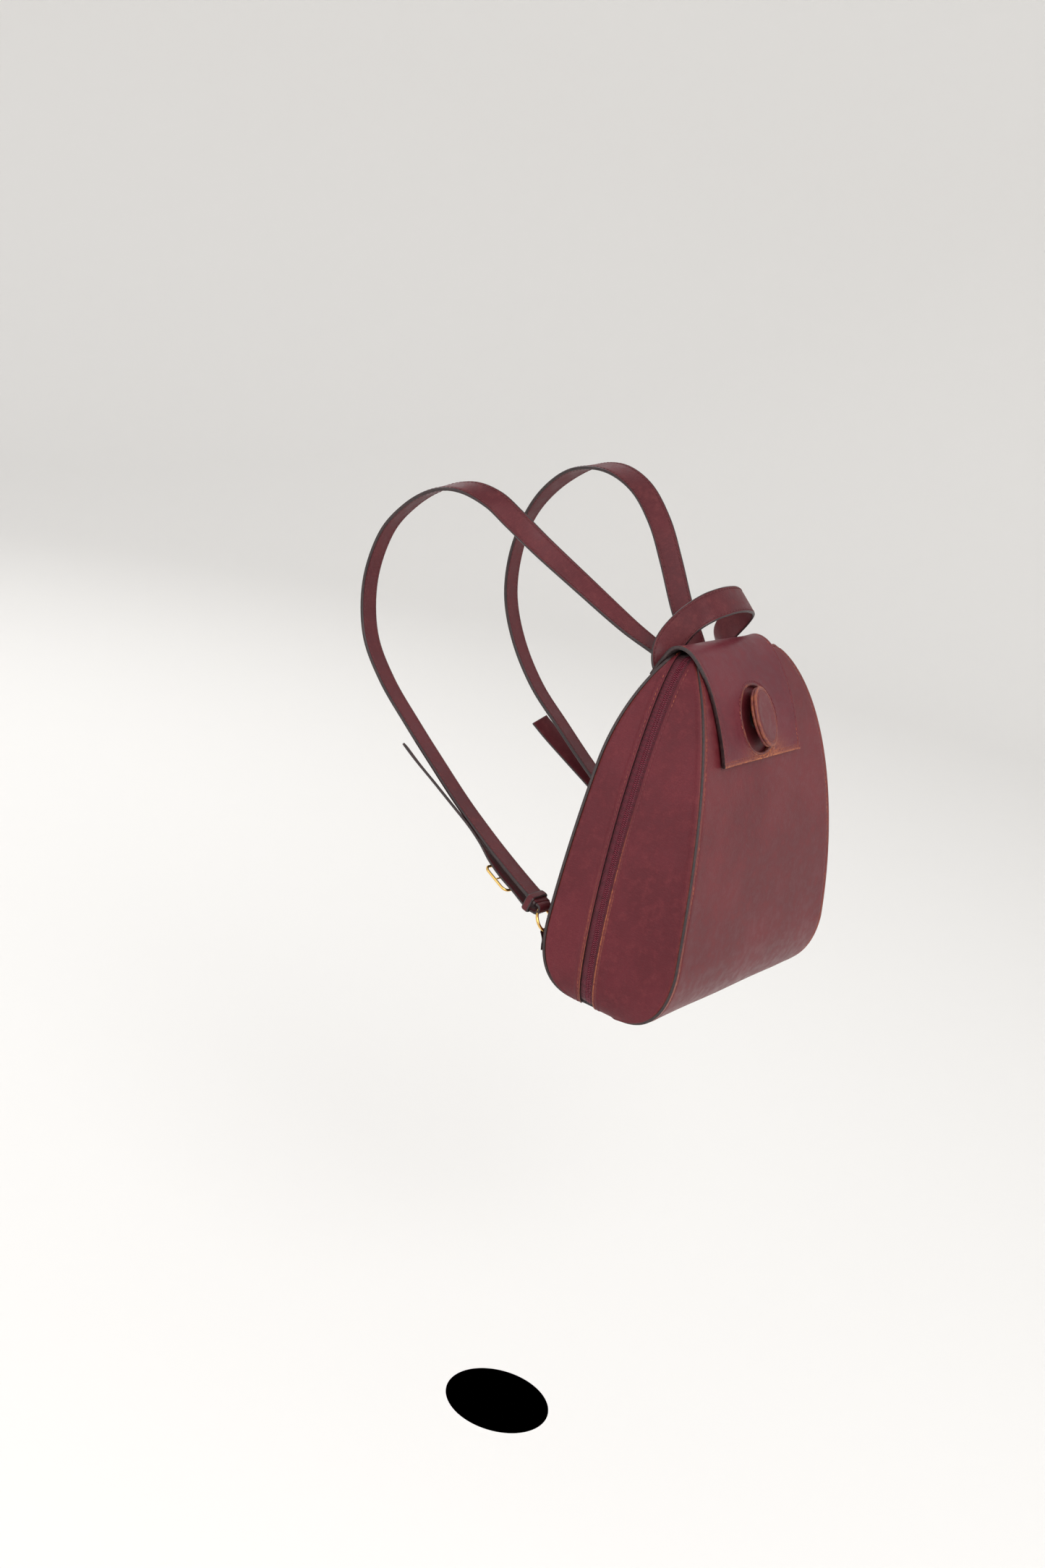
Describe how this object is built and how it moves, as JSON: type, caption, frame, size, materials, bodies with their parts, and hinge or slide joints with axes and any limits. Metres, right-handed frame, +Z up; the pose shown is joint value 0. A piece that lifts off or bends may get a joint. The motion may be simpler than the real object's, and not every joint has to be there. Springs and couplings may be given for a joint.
{
  "type": "backpack",
  "caption": "Stiff leather backpack with a zip round its sides and top, a round-buttoned flap, a carrying handle and two buckled shoulder straps.",
  "frame": {"origin": "on the flat face of the back panel, where the case rests on the wearer's back, 150 mm above the bottom of the case", "axes": "+Y towards the wearer, -Y towards the flap's button, +Z up, X across the bag"},
  "size_m": [0.2628, 0.4059, 0.4027],
  "materials": {
    "panel_leather": "semi-gloss",
    "gusset_leather": "semi-gloss",
    "button_leather": "semi-gloss",
    "strap_leather": "semi-gloss",
    "dark_leather": "satin",
    "zip_tape": "matte",
    "zip_teeth": "satin",
    "gold_metal": "polished",
    "lining": "matte",
    "board": "matte"
  },
  "bodies": {
    "case": {"front_panel": "panel_leather", "base_panel": "panel_leather", "back_panel": "panel_leather", "gusset_front_l": "gusset_leather", "gusset_front_r": "gusset_leather", "gusset_rear_l": "gusset_leather", "gusset_rear_r": "gusset_leather", "zip_tape_front": "zip_tape", "zip_tape_rear": "zip_tape", "zip_chain": "zip_teeth", "lining_front": "lining", "lining_back": "lining", "base_board": "board", "back_board": "board", "inner_pocket": "lining", "yoke": "strap_leather", "flap_root": "panel_leather", "flap_top": "panel_leather", "button_stem": "dark_leather", "handle_ends": "strap_leather", "strap_l": "strap_leather", "strap_r": "strap_leather", "belt_l": "strap_leather", "belt_r": "strap_leather", "turn_l": "strap_leather", "turn_r": "strap_leather", "keeper_l": "strap_leather", "keeper_r": "strap_leather", "buckle_l": "gold_metal", "buckle_r": "gold_metal", "ring_l": "gold_metal", "ring_r": "gold_metal", "ring_tab_l": "strap_leather", "ring_tab_r": "strap_leather"},
    "flap_drop": {"flap_front": "panel_leather", "flap_hole_rim": "panel_leather"},
    "button": {"button_shank": "gold_metal", "button_base": "button_leather", "button_face": "button_leather"},
    "handle": {"handle": "strap_leather"},
    "slider_l": {"zip_slider_l": "gold_metal", "zip_pull_l": "gold_metal"},
    "slider_r": {"zip_slider_r": "gold_metal", "zip_pull_r": "gold_metal"},
    "prong_l": {"prong_l": "gold_metal"},
    "prong_r": {"prong_r": "gold_metal"}
  },
  "joints": [
    {"name": "flap_fold", "type": "hinge", "parent": "case", "child": "flap_drop", "pos_m": [-0.013, -0.047, 0.1474], "axis": [-1, 0, 0], "range_deg": [0, 120]},
    {"name": "handle_swing", "type": "hinge", "parent": "case", "child": "handle", "pos_m": [0, -0.007, 0.114], "axis": [-1, 0, 0], "range_deg": [0, 20]},
    {"name": "button_tilt", "type": "hinge", "parent": "case", "child": "button", "pos_m": [-0.013, -0.08193, 0.10168], "axis": [0, 0.515, 0.8572], "range_deg": [-23, 0]},
    {"name": "zip_left", "type": "slide", "parent": "case", "child": "slider_l", "axis": [1, 0, 0], "range_m": [-0.025, 0.014]},
    {"name": "zip_right", "type": "slide", "parent": "case", "child": "slider_r", "axis": [-1, 0, 0], "range_m": [-0.025, 0.014]},
    {"name": "prong_left", "type": "hinge", "parent": "case", "child": "prong_l", "pos_m": [-0.11188, 0.06015, -0.07966], "axis": [-0.9947, 0.1028, 0], "range_deg": [0, 60]},
    {"name": "prong_right", "type": "hinge", "parent": "case", "child": "prong_r", "pos_m": [0.11188, 0.06015, -0.07966], "axis": [-0.9947, -0.1028, 0], "range_deg": [0, 60]}
  ]
}
